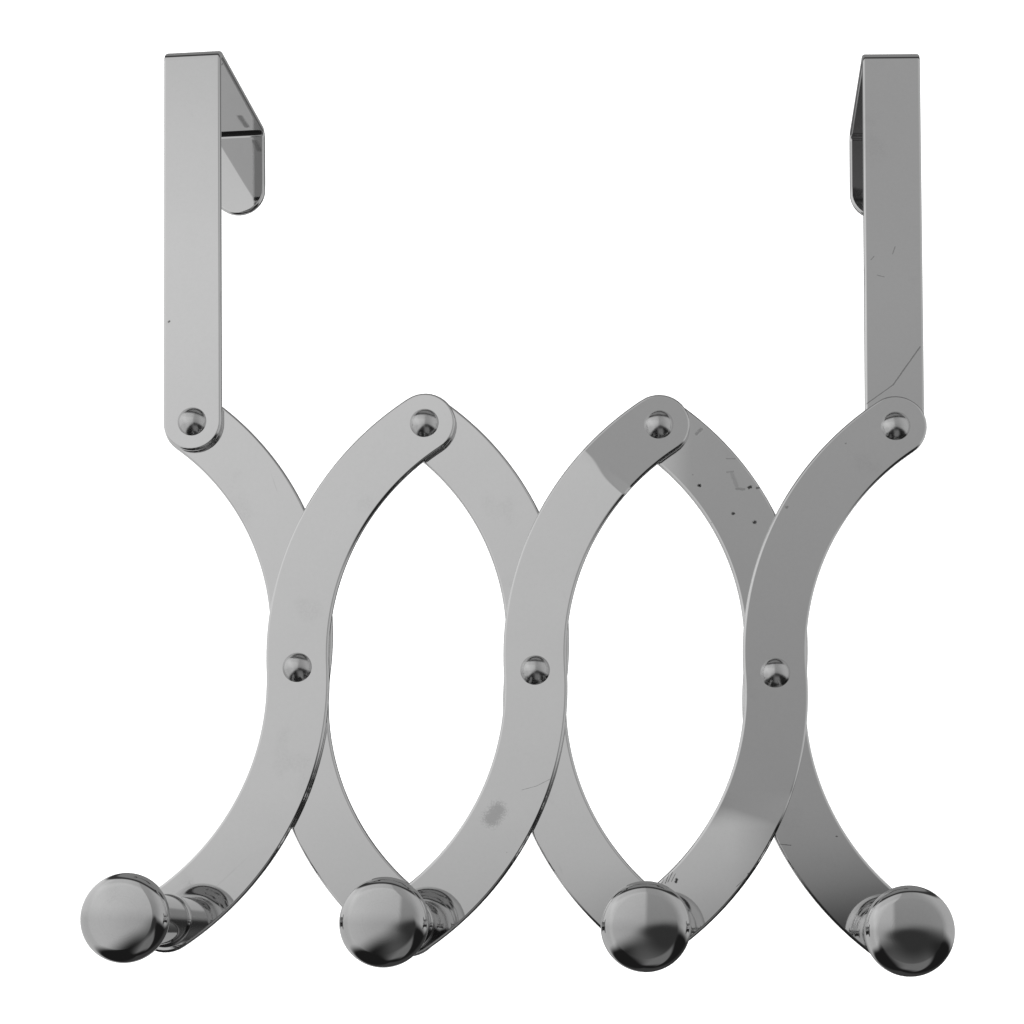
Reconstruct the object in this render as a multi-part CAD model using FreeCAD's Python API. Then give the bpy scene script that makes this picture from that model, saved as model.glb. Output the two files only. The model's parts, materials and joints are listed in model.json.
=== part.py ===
import FreeCAD, Part
import math
import os

# A concertina hook rail. Flat S-shaped arms in two layers are riveted into three cells,
# hang on a radiator by two bent strip hangers and carry four turned pegs.
# Millimetres. The origin is the middle of the left hanger's seat, where it rests on the
# radiator. +X runs along the rail, +Y points from the pegs to the wall, +Z is up.

Vector = FreeCAD.Vector
Rotation = FreeCAD.Rotation
ORIGIN = Vector(0, 0, 0)
ALONG_RAIL = Vector(1, 0, 0)
TO_WALL = Vector(0, 1, 0)
UP = Vector(0, 0, 1)

# Strip that the hangers and the arms are made of
strip_thickness = 2.5
layer_gap = 0.1

# Hangers
hanger_width = 19.0
seat_depth = 63.0
seat_to_rivet = 126.0
rear_leg_drop = 30.5
bend_radius = 1.5

# How far each hanger has swung to the left about its rivet, in degrees
left_hanger_lean = 3.0
right_hanger_lean = 0.4

# Arms: two equal arcs that meet tangent at the middle hole
arm_width = 20.0
arm_hole_spacing = 88.5
arm_arc_radius = 88.0
fold_angle = 25.3
cell_count = 3

# Rivets
rivet_shank_diameter = 5.0
rivet_head_diameter = 9.4
rivet_head_height = 2.9
rivet_tail_diameter = 7.4
rivet_tail_height = 1.2
rivet_tail_chamfer = 0.7
pivot_clearance = 0.05

# Pegs
peg_length = 48.4
peg_head_diameter = 26.0
peg_face_radius = 48.0
peg_edge_radius = 4.8
peg_neck_diameter = 15.4
peg_head_fillet = 5.0
peg_foot_fillet = 0.8
peg_foot_rim = 0.5
spigot_diameter = 7.0
end_float = 0.1

# Screws that hold the pegs from behind
screw_diameter = 4.0
screw_length = 12.0
screw_head_diameter = 8.4
screw_head_height = 2.4
screw_head_chamfer = 1.0
screw_clearance = 0.05
screw_hole_spare = 2.0
recess_length = 4.4
recess_width = 0.9
recess_depth = 1.2

# Turned forms are worked in flats. What turns in a hole is a true cylinder.
peg_flat_count = 20
rivet_flat_count = 12
screw_flat_count = 12
flat_angle = 28.0

# Places that follow from the sizes above
half_seat = seat_depth / 2
front_layer = -half_seat - strip_thickness
layer_step = strip_thickness + layer_gap
rear_layer = front_layer + layer_step
rivet_grip = 2 * strip_thickness + layer_gap
fold = math.radians(fold_angle)
pitch = 2 * arm_hole_spacing * math.sin(fold)
row_drop = arm_hole_spacing * math.cos(fold)
first_pivot = seat_to_rivet * math.sin(math.radians(left_hanger_lean))
top_row = -seat_to_rivet * math.cos(math.radians(left_hanger_lean))
middle_row = top_row - row_drop
bottom_row = middle_row - row_drop


def along(pivot):
    """How far along the rail a pivot lies. The middle pivots lie at halves."""
    return first_pivot + pivot * pitch


def hole(diameter, x, z):
    """A cutter for a round hole through one strip whose front face is at Y = 0."""
    start = Vector(x, -strip_thickness, z)
    return Part.makeCylinder(diameter / 2, 3 * strip_thickness, start, TO_WALL)


def turned(profile, flats):
    """A solid with flats around the Y axis, from (radius, depth) points, front to rear."""
    def ring(radius, depth):
        turns = [2 * math.pi * index / flats for index in range(flats + 1)]
        return [Vector(radius * math.cos(turn), depth, radius * math.sin(turn)) for turn in turns]

    def face(corners):
        return Part.Face(Part.makePolygon(corners + corners[:1]))

    rings = [ring(radius, depth) for radius, depth in profile]
    faces = [face(end[:-1]) for end in (rings[0], rings[-1]) if end[0] != end[1]]
    for near, far in zip(rings, rings[1:]):
        for index in range(flats):
            start = near[index:index + 2] if near[0] != near[1] else near[:1]
            faces.append(face(start + [far[index + 1], far[index]]))
    return Part.Solid(Part.Shell(faces))


def round_stretch(centre, radius, first, last):
    """Profile points on from the first of two directions about a centre to the last.

    The centre is (radius, depth), 0 degrees is outwards and 90 is to the wall.
    """
    steps = max(2, round(abs(last - first) / flat_angle))
    turns = [math.radians(first + (last - first) * step / steps) for step in range(1, steps + 1)]
    return [(centre[0] + radius * math.cos(turn), centre[1] + radius * math.sin(turn)) for turn in turns]


def rod(diameter, start, end):
    """A true cylinder along the Y axis."""
    return Part.makeCylinder(diameter / 2, end - start, TO_WALL * start, TO_WALL)


def arm():
    """One arm: chord upright, middle hole at the origin, front face at Y = 0."""
    sweep = math.asin(arm_hole_spacing / 2 / arm_arc_radius)
    arc_centre = Vector(arm_arc_radius * math.cos(sweep), 0, arm_hole_spacing / 2)
    convex = arm_arc_radius + arm_width / 2
    concave = arm_arc_radius - arm_width / 2

    def side(radius, angle):
        return arc_centre + Vector(-radius * math.cos(angle), 0, radius * math.sin(angle))

    end_direction = Vector(math.sin(sweep), 0, math.cos(sweep))
    tip = Vector(0, 0, arm_hole_spacing) + end_direction * (arm_width / 2)
    upper_half = [
        Part.Arc(side(convex, -sweep), side(convex, 0), side(convex, sweep)).toShape(),
        Part.Arc(side(convex, sweep), tip, side(concave, sweep)).toShape(),
        Part.Arc(side(concave, sweep), side(concave, 0), side(concave, -sweep)).toShape(),
    ]
    lower_half = [edge.rotated(ORIGIN, TO_WALL, 180) for edge in upper_half]
    outline = Part.Wire(upper_half + lower_half)
    plate = Part.Face(outline).extrude(TO_WALL * strip_thickness)
    pivot_hole = rivet_shank_diameter + 2 * pivot_clearance
    foot_hole = spigot_diameter + 2 * pivot_clearance
    plate = plate.cut(hole(pivot_hole, 0, arm_hole_spacing))
    plate = plate.cut(hole(pivot_hole, 0, 0))
    return plate.cut(hole(foot_hole, 0, -arm_hole_spacing))


def front_arm(cell):
    """An arm of the front layer, from a bottom pivot up to the right."""
    place = Vector(along(cell + 0.5), front_layer, middle_row)
    return placed(arm(), place, Rotation(TO_WALL, fold_angle))


def rear_arm(cell):
    """The same arm turned over, in the rear layer, from a bottom pivot up to the left."""
    place = Vector(along(cell + 0.5), rear_layer + strip_thickness, middle_row)
    turned_over = Rotation(TO_WALL, -fold_angle).multiply(Rotation(UP, 180))
    return placed(arm(), place, turned_over)


def placed(solid, place, rotation=Rotation()):
    """The solid turned about the origin and then moved to its place."""
    moved = solid.copy()
    moved.Placement = FreeCAD.Placement(place, rotation).multiply(solid.Placement)
    return moved


def leg_end_trim(leg_front, end_centre):
    """A cutter that leaves a half-round end on a leg of the hanger."""
    margin = strip_thickness
    radius = hanger_width / 2
    corner = Vector(-radius - margin, leg_front - margin, end_centre - radius - margin)
    depth = strip_thickness + 2 * margin
    block = Part.makeBox(2 * (radius + margin), depth, radius + margin, corner)
    start = Vector(0, leg_front - 2 * margin, end_centre)
    return block.cut(Part.makeCylinder(radius, depth + 2 * margin, start, TO_WALL))


def hanger():
    """A strip bent twice into a hook, with the middle of its seat at the origin."""
    outside = half_seat + strip_thickness
    top = strip_thickness
    front_end = -seat_to_rivet - hanger_width / 2
    left = -hanger_width / 2
    side_view = [
        Vector(left, -outside, front_end),
        Vector(left, -outside, top),
        Vector(left, outside, top),
        Vector(left, outside, -rear_leg_drop),
        Vector(left, half_seat, -rear_leg_drop),
        Vector(left, half_seat, 0),
        Vector(left, -half_seat, 0),
        Vector(left, -half_seat, front_end),
    ]
    face = Part.Face(Part.makePolygon(side_view + side_view[:1]))
    strip = face.extrude(ALONG_RAIL * hanger_width)
    strip = bent(strip, outside, top, bend_radius + strip_thickness)
    strip = bent(strip, half_seat, 0, bend_radius)
    strip = strip.cut(leg_end_trim(-outside, -seat_to_rivet))
    strip = strip.cut(leg_end_trim(half_seat, hanger_width / 2 - rear_leg_drop))
    pivot_hole = rivet_shank_diameter + 2 * pivot_clearance
    cutter = hole(pivot_hole, 0, -seat_to_rivet)
    return strip.cut(placed(cutter, Vector(0, -outside, 0)))


def bent(strip, corner_depth, corner_height, radius):
    """Rounds the two corners of the strip at this depth and height."""
    near = strip_thickness / 10

    def is_corner(edge):
        middle = edge.CenterOfMass
        at_depth = abs(abs(middle.y) - corner_depth) < near
        at_height = abs(middle.z - corner_height) < near
        return at_depth and at_height and edge.BoundBox.XLength > near

    return strip.makeFillet(radius, [edge for edge in strip.Edges if is_corner(edge)])


def rivet():
    """A round-head rivet with its head on the plane Y = 0 and its tail behind two strips."""
    head = rivet_head_diameter / 2
    tail = rivet_tail_diameter / 2
    dome_radius = (head ** 2 + rivet_head_height ** 2) / (2 * rivet_head_height)
    dome_centre = (0, dome_radius - rivet_head_height)
    dome_edge = math.degrees(math.asin(head / dome_radius)) - 90
    tail_end = rivet_grip + rivet_tail_height
    head_profile = [(0, -rivet_head_height)]
    head_profile += round_stretch(dome_centre, dome_radius, -90, dome_edge)
    tail_profile = [
        (tail, rivet_grip),
        (tail, tail_end - rivet_tail_chamfer),
        (tail - rivet_tail_chamfer, tail_end),
    ]
    shank = rod(rivet_shank_diameter, 0, rivet_grip)
    return shank.fuse([turned(head_profile, rivet_flat_count), turned(tail_profile, rivet_flat_count)])


def peg(strips):
    """A turned mushroom peg, its foot on the plane Y = 0, its spigot through the strips."""
    head = peg_head_diameter / 2
    neck = peg_neck_diameter / 2
    foot = neck + peg_foot_fillet

    # The head's edge is tangent to its domed face and to the fillet that runs to the neck
    edge_offset = head - peg_edge_radius
    face_to_edge = math.sqrt((peg_face_radius - peg_edge_radius) ** 2 - edge_offset ** 2)
    face_depth = peg_face_radius - peg_length
    edge_depth = face_depth - face_to_edge
    face_end = math.degrees(math.asin(edge_offset / (peg_face_radius - peg_edge_radius))) - 90
    fillet_offset = neck + peg_head_fillet
    back_sum = peg_edge_radius + peg_head_fillet
    fillet_rise = math.sqrt(back_sum ** 2 - (fillet_offset - edge_offset) ** 2)
    back_end = math.degrees(math.atan2(fillet_rise, fillet_offset - edge_offset))
    fillet_depth = edge_depth + fillet_rise
    foot_fillet_depth = -peg_foot_rim - peg_foot_fillet

    profile = [(0, -peg_length)]
    profile += round_stretch((0, face_depth), peg_face_radius, -90, face_end)
    profile += round_stretch((edge_offset, edge_depth), peg_edge_radius, face_end, 0)
    profile += round_stretch((edge_offset, edge_depth), peg_edge_radius, 0, back_end)
    profile += round_stretch((fillet_offset, fillet_depth), peg_head_fillet, back_end - 180, -180)
    profile.append((neck, foot_fillet_depth))
    profile += round_stretch((foot, foot_fillet_depth), peg_foot_fillet, 180, 90)
    profile.append((foot, 0))
    spigot_end = spigot_length(strips)
    solid = turned(profile, peg_flat_count).fuse(rod(spigot_diameter, 0, spigot_end))
    bore_diameter = screw_diameter + 2 * screw_clearance
    bore_end = spigot_end - screw_length - screw_hole_spare
    return solid.cut(rod(bore_diameter, bore_end, spigot_end + end_float))


def spigot_length(strips):
    """Long enough for the strips on the peg and a little end float."""
    return strips * strip_thickness + (strips - 1) * layer_gap + end_float


def peg_screw():
    """A cross-recessed pan-head screw, the underside of its head on the plane Y = 0."""
    head = screw_head_diameter / 2
    profile = [
        (head, 0),
        (head, screw_head_height - screw_head_chamfer),
        (head - screw_head_chamfer, screw_head_height),
    ]
    screw = turned(profile, screw_flat_count).fuse(rod(screw_diameter, -screw_length, 0))
    floor = screw_head_height - recess_depth
    long_way = recess_length / 2
    short_way = recess_width / 2
    for reach_x, reach_z in ((long_way, short_way), (short_way, long_way)):
        corner = Vector(-reach_x, floor, -reach_z)
        screw = screw.cut(Part.makeBox(2 * reach_x, screw_head_height, 2 * reach_z, corner))
    return screw


def hung(pivot, depth, lean):
    """A hanger swung to the left by these degrees about its rivet on the top row."""
    rotation = Rotation(TO_WALL, -lean)
    rivet_place = Vector(along(pivot), depth, top_row)
    return placed(hanger(), rivet_place + rotation.multVec(UP * seat_to_rivet), rotation)


def hangers():
    """The left hanger lies in the front layer and the right one in the rear layer."""
    yield "left_hanger", hung(0, 0, left_hanger_lean)
    yield "right_hanger", hung(cell_count, layer_step, right_hanger_lean)


def arms():
    for cell in range(cell_count):
        yield f"front_arm_{cell + 1}", front_arm(cell)
        yield f"rear_arm_{cell + 1}", rear_arm(cell)


def rivets():
    for pivot in range(cell_count + 1):
        place = Vector(along(pivot), front_layer, top_row)
        yield f"top_rivet_{pivot + 1}", placed(rivet(), place)
    for cell in range(cell_count):
        place = Vector(along(cell + 0.5), front_layer, middle_row)
        yield f"middle_rivet_{cell + 1}", placed(rivet(), place)


def pegs():
    """The inner pegs join two arms. The first and the last sit on one arm each."""
    for pivot in range(cell_count + 1):
        strips = 2 if 0 < pivot < cell_count else 1
        layer = rear_layer if pivot == cell_count else front_layer
        place = Vector(along(pivot), layer, bottom_row)
        yield f"peg_{pivot + 1}", placed(peg(strips), place)
        screw_place = place + TO_WALL * spigot_length(strips)
        yield f"peg_screw_{pivot + 1}", placed(peg_screw(), screw_place)


def main():
    os.makedirs("parts", exist_ok=True)
    for group in (hangers(), arms(), rivets(), pegs()):
        for node, shape in group:
            shape.exportStep(f"parts/{node}.step")


main()
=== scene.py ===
import json
import math

import bpy
import numpy as np
from mathutils import Matrix, Vector

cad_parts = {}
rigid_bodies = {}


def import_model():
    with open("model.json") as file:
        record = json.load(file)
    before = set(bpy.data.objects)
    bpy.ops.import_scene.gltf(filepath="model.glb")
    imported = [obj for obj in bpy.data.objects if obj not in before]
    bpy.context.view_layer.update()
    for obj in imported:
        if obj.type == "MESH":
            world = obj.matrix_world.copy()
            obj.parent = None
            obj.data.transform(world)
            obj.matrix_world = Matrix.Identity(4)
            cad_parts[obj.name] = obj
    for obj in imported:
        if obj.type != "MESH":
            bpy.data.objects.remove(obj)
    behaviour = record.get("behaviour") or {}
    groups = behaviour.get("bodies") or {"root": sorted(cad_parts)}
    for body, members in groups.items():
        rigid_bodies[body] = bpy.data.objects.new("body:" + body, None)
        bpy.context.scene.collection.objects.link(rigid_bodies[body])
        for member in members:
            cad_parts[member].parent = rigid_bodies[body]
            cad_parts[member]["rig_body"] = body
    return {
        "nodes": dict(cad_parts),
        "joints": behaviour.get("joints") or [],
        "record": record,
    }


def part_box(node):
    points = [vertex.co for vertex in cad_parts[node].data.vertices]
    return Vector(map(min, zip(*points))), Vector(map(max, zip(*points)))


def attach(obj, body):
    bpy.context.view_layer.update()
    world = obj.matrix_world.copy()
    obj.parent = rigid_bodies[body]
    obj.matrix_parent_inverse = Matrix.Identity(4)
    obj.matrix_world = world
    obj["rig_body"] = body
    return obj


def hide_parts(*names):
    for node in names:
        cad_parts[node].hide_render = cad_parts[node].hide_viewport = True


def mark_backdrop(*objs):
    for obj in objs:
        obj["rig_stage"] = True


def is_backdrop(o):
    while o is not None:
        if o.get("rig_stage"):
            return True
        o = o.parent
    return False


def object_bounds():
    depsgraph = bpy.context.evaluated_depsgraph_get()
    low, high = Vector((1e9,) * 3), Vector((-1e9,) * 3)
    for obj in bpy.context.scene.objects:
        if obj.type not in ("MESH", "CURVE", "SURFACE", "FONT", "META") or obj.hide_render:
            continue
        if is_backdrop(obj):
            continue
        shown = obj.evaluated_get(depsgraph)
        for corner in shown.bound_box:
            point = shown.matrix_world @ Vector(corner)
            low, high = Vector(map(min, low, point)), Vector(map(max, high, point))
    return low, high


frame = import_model()
CAD_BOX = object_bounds()

bl_info = {
    "name": "Concertina hook rail",
    "version": (1, 0, 0),
    "blender": (4, 5, 0),
    "location": "View3D > Sidebar > Hook rail",
    "description": "Chromed strip arms, hangers, rivets and turned pegs around the packed part",
    "category": "Object",
}

MM = 0.001
CELLS = (1, 2, 3)
PIVOTS = (1, 2, 3, 4)
TO_WALL = np.array([0.0, 1.0, 0.0])
PIVOT = {joint["name"]: np.array(joint["pos_m"]) for joint in frame["joints"]}
SEAT = {mount["name"]: mount for mount in frame["record"]["mounts"]}
FRONT_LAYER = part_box("front_arm_1")[0].y
REAR_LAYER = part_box("rear_arm_1")[0].y
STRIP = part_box("front_arm_1")[1].y - FRONT_LAYER
LAYER_GAP = REAR_LAYER - FRONT_LAYER - STRIP
WELD = 2e-7
TURNED_SEGMENTS = {"rivet": 64, "peg": 128, "screw": 96}


# Sizes and finishes


def length(default, text):
    """A length property in metres from a default in millimetres."""
    return bpy.props.FloatProperty(
        default=default * MM, min=0.0, precision=5, unit="LENGTH", description=text
    )


def share(default, text):
    """A property from 0 to 1."""
    return bpy.props.FloatProperty(default=default, min=0.0, max=1.0, subtype="FACTOR", description=text)


def several(default, text, subtype="TRANSLATION"):
    """A place in metres, a turn in radians or a colour."""
    return bpy.props.FloatVectorProperty(
        default=default, size=len(default), precision=5, subtype=subtype, description=text
    )


class StripSizes(bpy.types.PropertyGroup):
    """Sizes of the flat strip that the arms and the hangers are made of."""

    edge_round: length(0.9, "Rounding of the strip's edges")
    arm_width: length(20.0, "Width of the arms' strip")
    arm_arc: length(88.0, "Radius of each arm's two arcs at the middle of the strip")
    hanger_width: length(19.0, "Width of the hangers' strip")
    seat_depth: length(63.0, "Inside depth of the hanger, over the radiator")
    seat_to_rivet: length(126.0, "Height of the seat above the hanger's rivet")
    rear_leg: length(30.5, "How far the rear leg reaches below the seat")
    bend: length(1.5, "Inside radius of the hanger's bends")
    rivet_hole: length(5.1, "Diameter of the holes for the rivets")
    peg_hole: length(7.1, "Diameter of the holes for the pegs")


class RivetSizes(bpy.types.PropertyGroup):
    """Sizes of the round-head rivets."""

    shank: length(5.0, "Diameter of the shank")
    head: length(9.4, "Diameter of the head")
    head_height: length(2.9, "How far the head stands out of the strip")
    tail: length(7.4, "Diameter of the closed tail")
    tail_height: length(1.2, "How far the tail stands out behind")
    tail_round: length(0.7, "Rounding of the tail's edge")
    grip: length(5.1, "Thickness that the rivet holds")


class PegSizes(bpy.types.PropertyGroup):
    """Sizes of the turned mushroom pegs."""

    reach: length(48.4, "How far the peg stands out of its arm")
    head: length(26.0, "Diameter of the head")
    face: length(48.0, "Radius of the head's domed face")
    edge: length(4.8, "Radius of the head's rounded edge")
    neck: length(15.4, "Diameter of the neck")
    head_fillet: length(5.0, "Hollow between the neck and the head")
    foot_fillet: length(0.8, "Hollow between the neck and the foot")
    foot_rim: length(0.5, "Thickness of the foot's rim")
    spigot: length(7.0, "Diameter of the spigot in the arms")
    bore: length(4.1, "Diameter of the hole for the screw")
    bore_depth: length(14.0, "Depth of that hole")


class ScrewSizes(bpy.types.PropertyGroup):
    """Sizes of the screws that hold the pegs from behind."""

    shank: length(4.0, "Diameter over the thread")
    reach: length(12.0, "Length of the shank under the head")
    head: length(8.4, "Diameter of the head")
    head_height: length(2.4, "Height of the head")
    head_round: length(1.4, "Rounding of the head's edge")
    recess: length(2.2, "Reach of each wing of the cross recess")
    wing: length(0.45, "Half the width of each wing")
    wing_slope: length(0.15, "Width of the slope along a wing's sides")
    recess_depth: length(1.2, "Depth of the cross recess")


class FinishSettings(bpy.types.PropertyGroup):
    """Colours and wear of the metal."""

    strip_chrome: several((0.72, 0.72, 0.72), "Plating of the flat strips", "COLOR")
    turned_chrome: several((0.62, 0.62, 0.62), "Plating of the pegs and the rivets", "COLOR")
    zinc: several((0.55, 0.55, 0.55), "Plating of the screws", "COLOR")
    strip_haze: share(0.03, "Roughness of the flat strips")
    peg_haze: share(0.05, "Roughness of the pegs")
    rivet_haze: share(0.2, "Roughness of the rivets")
    zinc_haze: share(0.3, "Roughness of the screws")
    wear: share(1.0, "How much the smudges, scratches and specks show")


class StageSettings(bpy.types.PropertyGroup):
    """The camera, the floor and the light tent."""

    camera_place: several((0.179134, -0.656866, -0.29291), "Where the camera stands")
    camera_turn: several(
        (math.radians(98.8459), math.radians(-0.9679), math.radians(2.2495)),
        "Which way the camera looks", "EULER",
    )
    lens: bpy.props.FloatProperty(default=70.3125, description="Focal length in millimetres")
    lens_shift: share(0.125, "How far the picture is moved to the left of the lens and above it")
    tent_middle: several((0.12, -0.035, -0.2), "Middle of the light tent")
    tent_radius: length(800.0, "How far the light tent stands from its middle")
    left_wall: share(0.545, "Brightness of the tent on the camera's side, at its dullest")
    right_wall: share(0.56, "Brightness of the tent far on the right")
    corner: share(0.335, "Brightness of the band between the two walls")
    back_wall: share(0.36, "Brightness of the tent behind on the left, half of it on the right")
    seam: share(0.05, "Brightness of the dark seam along the top")
    roof: share(0.28, "Brightness of the tent overhead")
    figure: share(0.045, "Brightness of the dark shape in front")
    table: share(0.016, "Brightness of the dark table edges below")
    front: share(0.22, "Brightness of the lighter wedge between them")
    behind: share(0.06, "Brightness below the tent behind the hook rail")
    card_middle: several((0.262, -0.65, -0.317), "Middle of the dark card beside the camera")
    card_size: several((0.13, 0.045), "Half the width and the height of the dark card")
    floor_drop: length(780.0, "How far the floor lies below the lowest peg")


# Meshes


def keep_values(mesh, name, values):
    """Keeps a number for each of a mesh's points in an attribute."""
    entry = mesh.attributes.new(name, "FLOAT", "POINT")
    entry.data.foreach_set("value", values.ravel().astype(np.float32))


def cells(index):
    """The four corners of each cell between the points of a grid."""
    return np.stack([index[:-1, :-1], index[:-1, 1:], index[1:, 1:], index[1:, :-1]], -1)


def sheet_mesh(name, places):
    """A sheet of quads between a grid of places."""
    rows, columns = places.shape[:2]
    faces = cells(np.arange(rows * columns).reshape(rows, columns)).reshape(-1, 4)
    mesh = bpy.data.meshes.new(name)
    mesh.from_pydata(places.reshape(-1, 3).tolist(), [], faces.tolist())
    return mesh


def smooth_mesh(name, grids, turning=None):
    """A closed mesh from grids of points, with the surface's own normals.

    Each grid is (points, start, end, keep). points[i, k] is a grid of places. The cell between
    k and k + 1 has the normals start[i, k] on its k side and end[i, k] on its k + 1 side, and
    keep[i, k] says whether the cell between i and i + 1 is there. Places that coincide become
    one vertex, and a cell with two corners in one place becomes a triangle. turning gives each
    point its length along a turned outline, which the marks of the lathe follow.
    """
    corners, normals, count, places = [], [], 0, []
    for points, start, end, keep in grids:
        rows, columns = points.shape[:2]
        cell = cells(np.arange(rows * columns).reshape(rows, columns) + count)
        normal = np.stack([start[:-1], end[:-1], end[1:], start[1:]], 2)
        corners.append(cell[keep])
        normals.append(normal[keep])
        places.append(points.reshape(-1, 3))
        count += rows * columns
    places = np.concatenate(places)
    corners, normals = np.concatenate(corners), np.concatenate(normals)
    snapped = np.floor(places / WELD + 0.314).astype(np.int64)
    first, merged = np.unique(snapped, axis=0, return_index=True, return_inverse=True)[1:]
    places, corners = places[first], merged.reshape(-1)[corners]
    same = corners == np.roll(corners, -1, axis=1)
    whole = same.sum(1) == 0
    faces, loop_normals = corners[whole].tolist(), [normals[whole].reshape(-1, 3)]
    for corner in range(4):
        folded = (same.sum(1) == 1) & same[:, corner]
        kept = [c for c in range(4) if c != corner]
        faces += corners[folded][:, kept].tolist()
        loop_normals.append(normals[folded][:, kept].reshape(-1, 3))
    mesh = bpy.data.meshes.new(name)
    mesh.from_pydata(places.tolist(), [], faces)
    mesh.shade_smooth()
    mesh.normals_split_custom_set(np.concatenate(loop_normals).tolist())
    if turning is not None:
        keep_values(mesh, "turning", turning.reshape(-1)[first])
    mesh.update()
    return mesh


def turned_grid(outline, segments):
    """A surface of revolution about the Y axis, as a grid for smooth_mesh.

    outline is a list of strokes, each an array of (radius, depth, normal out, normal back):
    place = (radius * cos turn, depth, radius * sin turn), and its normal is
    (out * cos turn, back, out * sin turn), for turn from 0 to a full circle.
    """
    profile = np.concatenate(outline)
    joins = np.cumsum([len(stroke) for stroke in outline])[:-1] - 1
    turn = np.linspace(0.0, 2 * math.pi, segments + 1)
    cosine, sine = np.cos(turn), np.sin(turn)
    cosine[-1], sine[-1] = cosine[0], sine[0]

    def around(out, back):
        return np.stack([np.outer(cosine, out), np.tile(back, (segments + 1, 1)), np.outer(sine, out)], -1)

    points, normals = around(profile[:, 0], profile[:, 1]), around(profile[:, 2], profile[:, 3])
    keep = np.ones((segments, len(profile) - 1), bool)
    keep[:, joins] = False
    return points, normals[:, :-1], normals[:, 1:], keep


def turned_mesh(name, outline, segments):
    """A surface of revolution with the length along its outline at each of its points."""
    profile = np.concatenate(outline)[:, :2]
    steps = np.linalg.norm(np.diff(profile, axis=0), axis=1)
    along = np.concatenate([[0.0], np.cumsum(steps)])
    return smooth_mesh(name, [turned_grid(outline, segments)], np.tile(along, (segments + 1, 1)))


def straight(start, end, steps=1):
    """A straight stroke between two (radius, depth) points, its normal to the left of its way."""
    start, end = np.array(start), np.array(end)
    way = (end - start) / np.linalg.norm(end - start)
    part = np.linspace(0.0, 1.0, steps + 1)[:, None]
    normal = np.array([way[1], -way[0]])
    return np.concatenate([start + (end - start) * part, np.tile(normal, (steps + 1, 1))], 1)


def straights(*places):
    """Straight strokes through a row of (radius, depth) points."""
    return [straight(start, end) for start, end in zip(places, places[1:])]


def curved(centre, radius, first, last, steps, hollow=False):
    """A round stroke about a centre between two directions in degrees, 90 being to the wall.

    place = centre + radius * (cos, sin), and the normal is (cos, sin), turned inwards on a hollow.
    """
    turn = np.radians(np.linspace(first, last, steps + 1))
    way = np.stack([np.cos(turn), np.sin(turn)], 1)
    return np.concatenate([np.array(centre) + radius * way, -way if hollow else way], 1)


def plate_grid(path, half_width, edge, side):
    """One side of a strip with round ends, as a grid for smooth_mesh.

    path holds, for each station, a place on the strip's front face, the way along the strip, the
    way across it and the way through it. A profile is carried along it: out over the front face
    from the hole's edge or the middle line, round the edge, through the thickness, and back over
    the rear face. place = station + reach * out + depth * through, where out is across the strip,
    and swings round to along it at the two ends.
    """
    place, along, through, hole = path["place"], path["along"], path["through"], path["hole"]
    out = path["out"][0] * along + side * path["out"][1] * path["across"]
    flat, quarter = np.linspace(0.0, 1.0, 4), np.linspace(0.0, math.pi / 2, 5)[1:]
    part, half_tilt = np.concatenate([[flat, 0 * flat], [0 * quarter + 1, quarter]], 1)
    half_reach = hole + (half_width - edge - hole) * part + edge * np.sin(half_tilt)
    half_depth = edge * (1 - np.cos(half_tilt))
    tilt = np.concatenate([half_tilt, math.pi - half_tilt[::-1], [0.0]])
    depth = np.concatenate([half_depth, STRIP - half_depth[::-1], [0.0]])[None, :, None]
    reach = np.concatenate([half_reach, half_reach[:, ::-1], hole], 1)[..., None]
    points = place[:, None] + reach * out[:, None] + depth * through[:, None]
    cosine, sine = np.cos(tilt)[None, :, None], np.sin(tilt)[None, :, None]
    normals = out[:, None] * sine - through[:, None] * cosine
    keep = np.ones((len(place) - 1, len(tilt) - 1), bool)
    keep[:, -1] = (hole[:-1, 0] > 0) | (hole[1:, 0] > 0)
    start, end = normals[:, :-1].copy(), normals[:, 1:].copy()
    wall = -hole * out - path["from_hole"] * along
    start[:, -1] = end[:, -1] = wall / np.maximum(np.linalg.norm(wall, axis=1, keepdims=True), 1e-9)
    grid = points, start, end, keep
    return grid if side > 0 else [part[::-1] for part in grid]


def strip_stations(total, spots, holes):
    """The stations along a strip: the length along it, and how the profile stands there.

    The ends are half circles about the stations 0 and total. holes is a list of (length along,
    radius). Between the ends a hole's edge is at sqrt(radius ** 2 - distance ** 2).
    """
    round_spots = np.cos(np.linspace(0.0, math.pi, 17))
    middle = [np.asarray(spots)] + [centre + radius * round_spots for centre, radius in holes]
    middle = np.unique(np.round(np.concatenate(middle), 9))
    middle = middle[(middle >= 0.0) & (middle <= total)]
    swing = np.linspace(math.pi, math.pi / 2, 11)[:-1]
    cap = len(swing)
    along = np.concatenate([np.zeros(cap), middle, np.full(cap, total)])
    out_along = np.concatenate([np.cos(swing), np.zeros(len(middle)), -np.cos(swing)[::-1]])
    out_across = np.concatenate([np.sin(swing), np.ones(len(middle)), np.sin(swing)[::-1]])
    hole, from_hole = np.zeros(len(along)), np.zeros(len(along))
    for centre, radius in holes:
        distance = along - centre
        inside = np.abs(distance) <= radius + 1e-9
        hole = np.where(inside, np.sqrt(np.clip(radius ** 2 - distance ** 2, 0.0, None)), hole)
        from_hole = np.where(inside, distance, from_hole)
    out = np.stack([out_along, out_across])[..., None]
    return along, {"out": out, "hole": hole[:, None], "from_hole": from_hole[:, None]}


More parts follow.
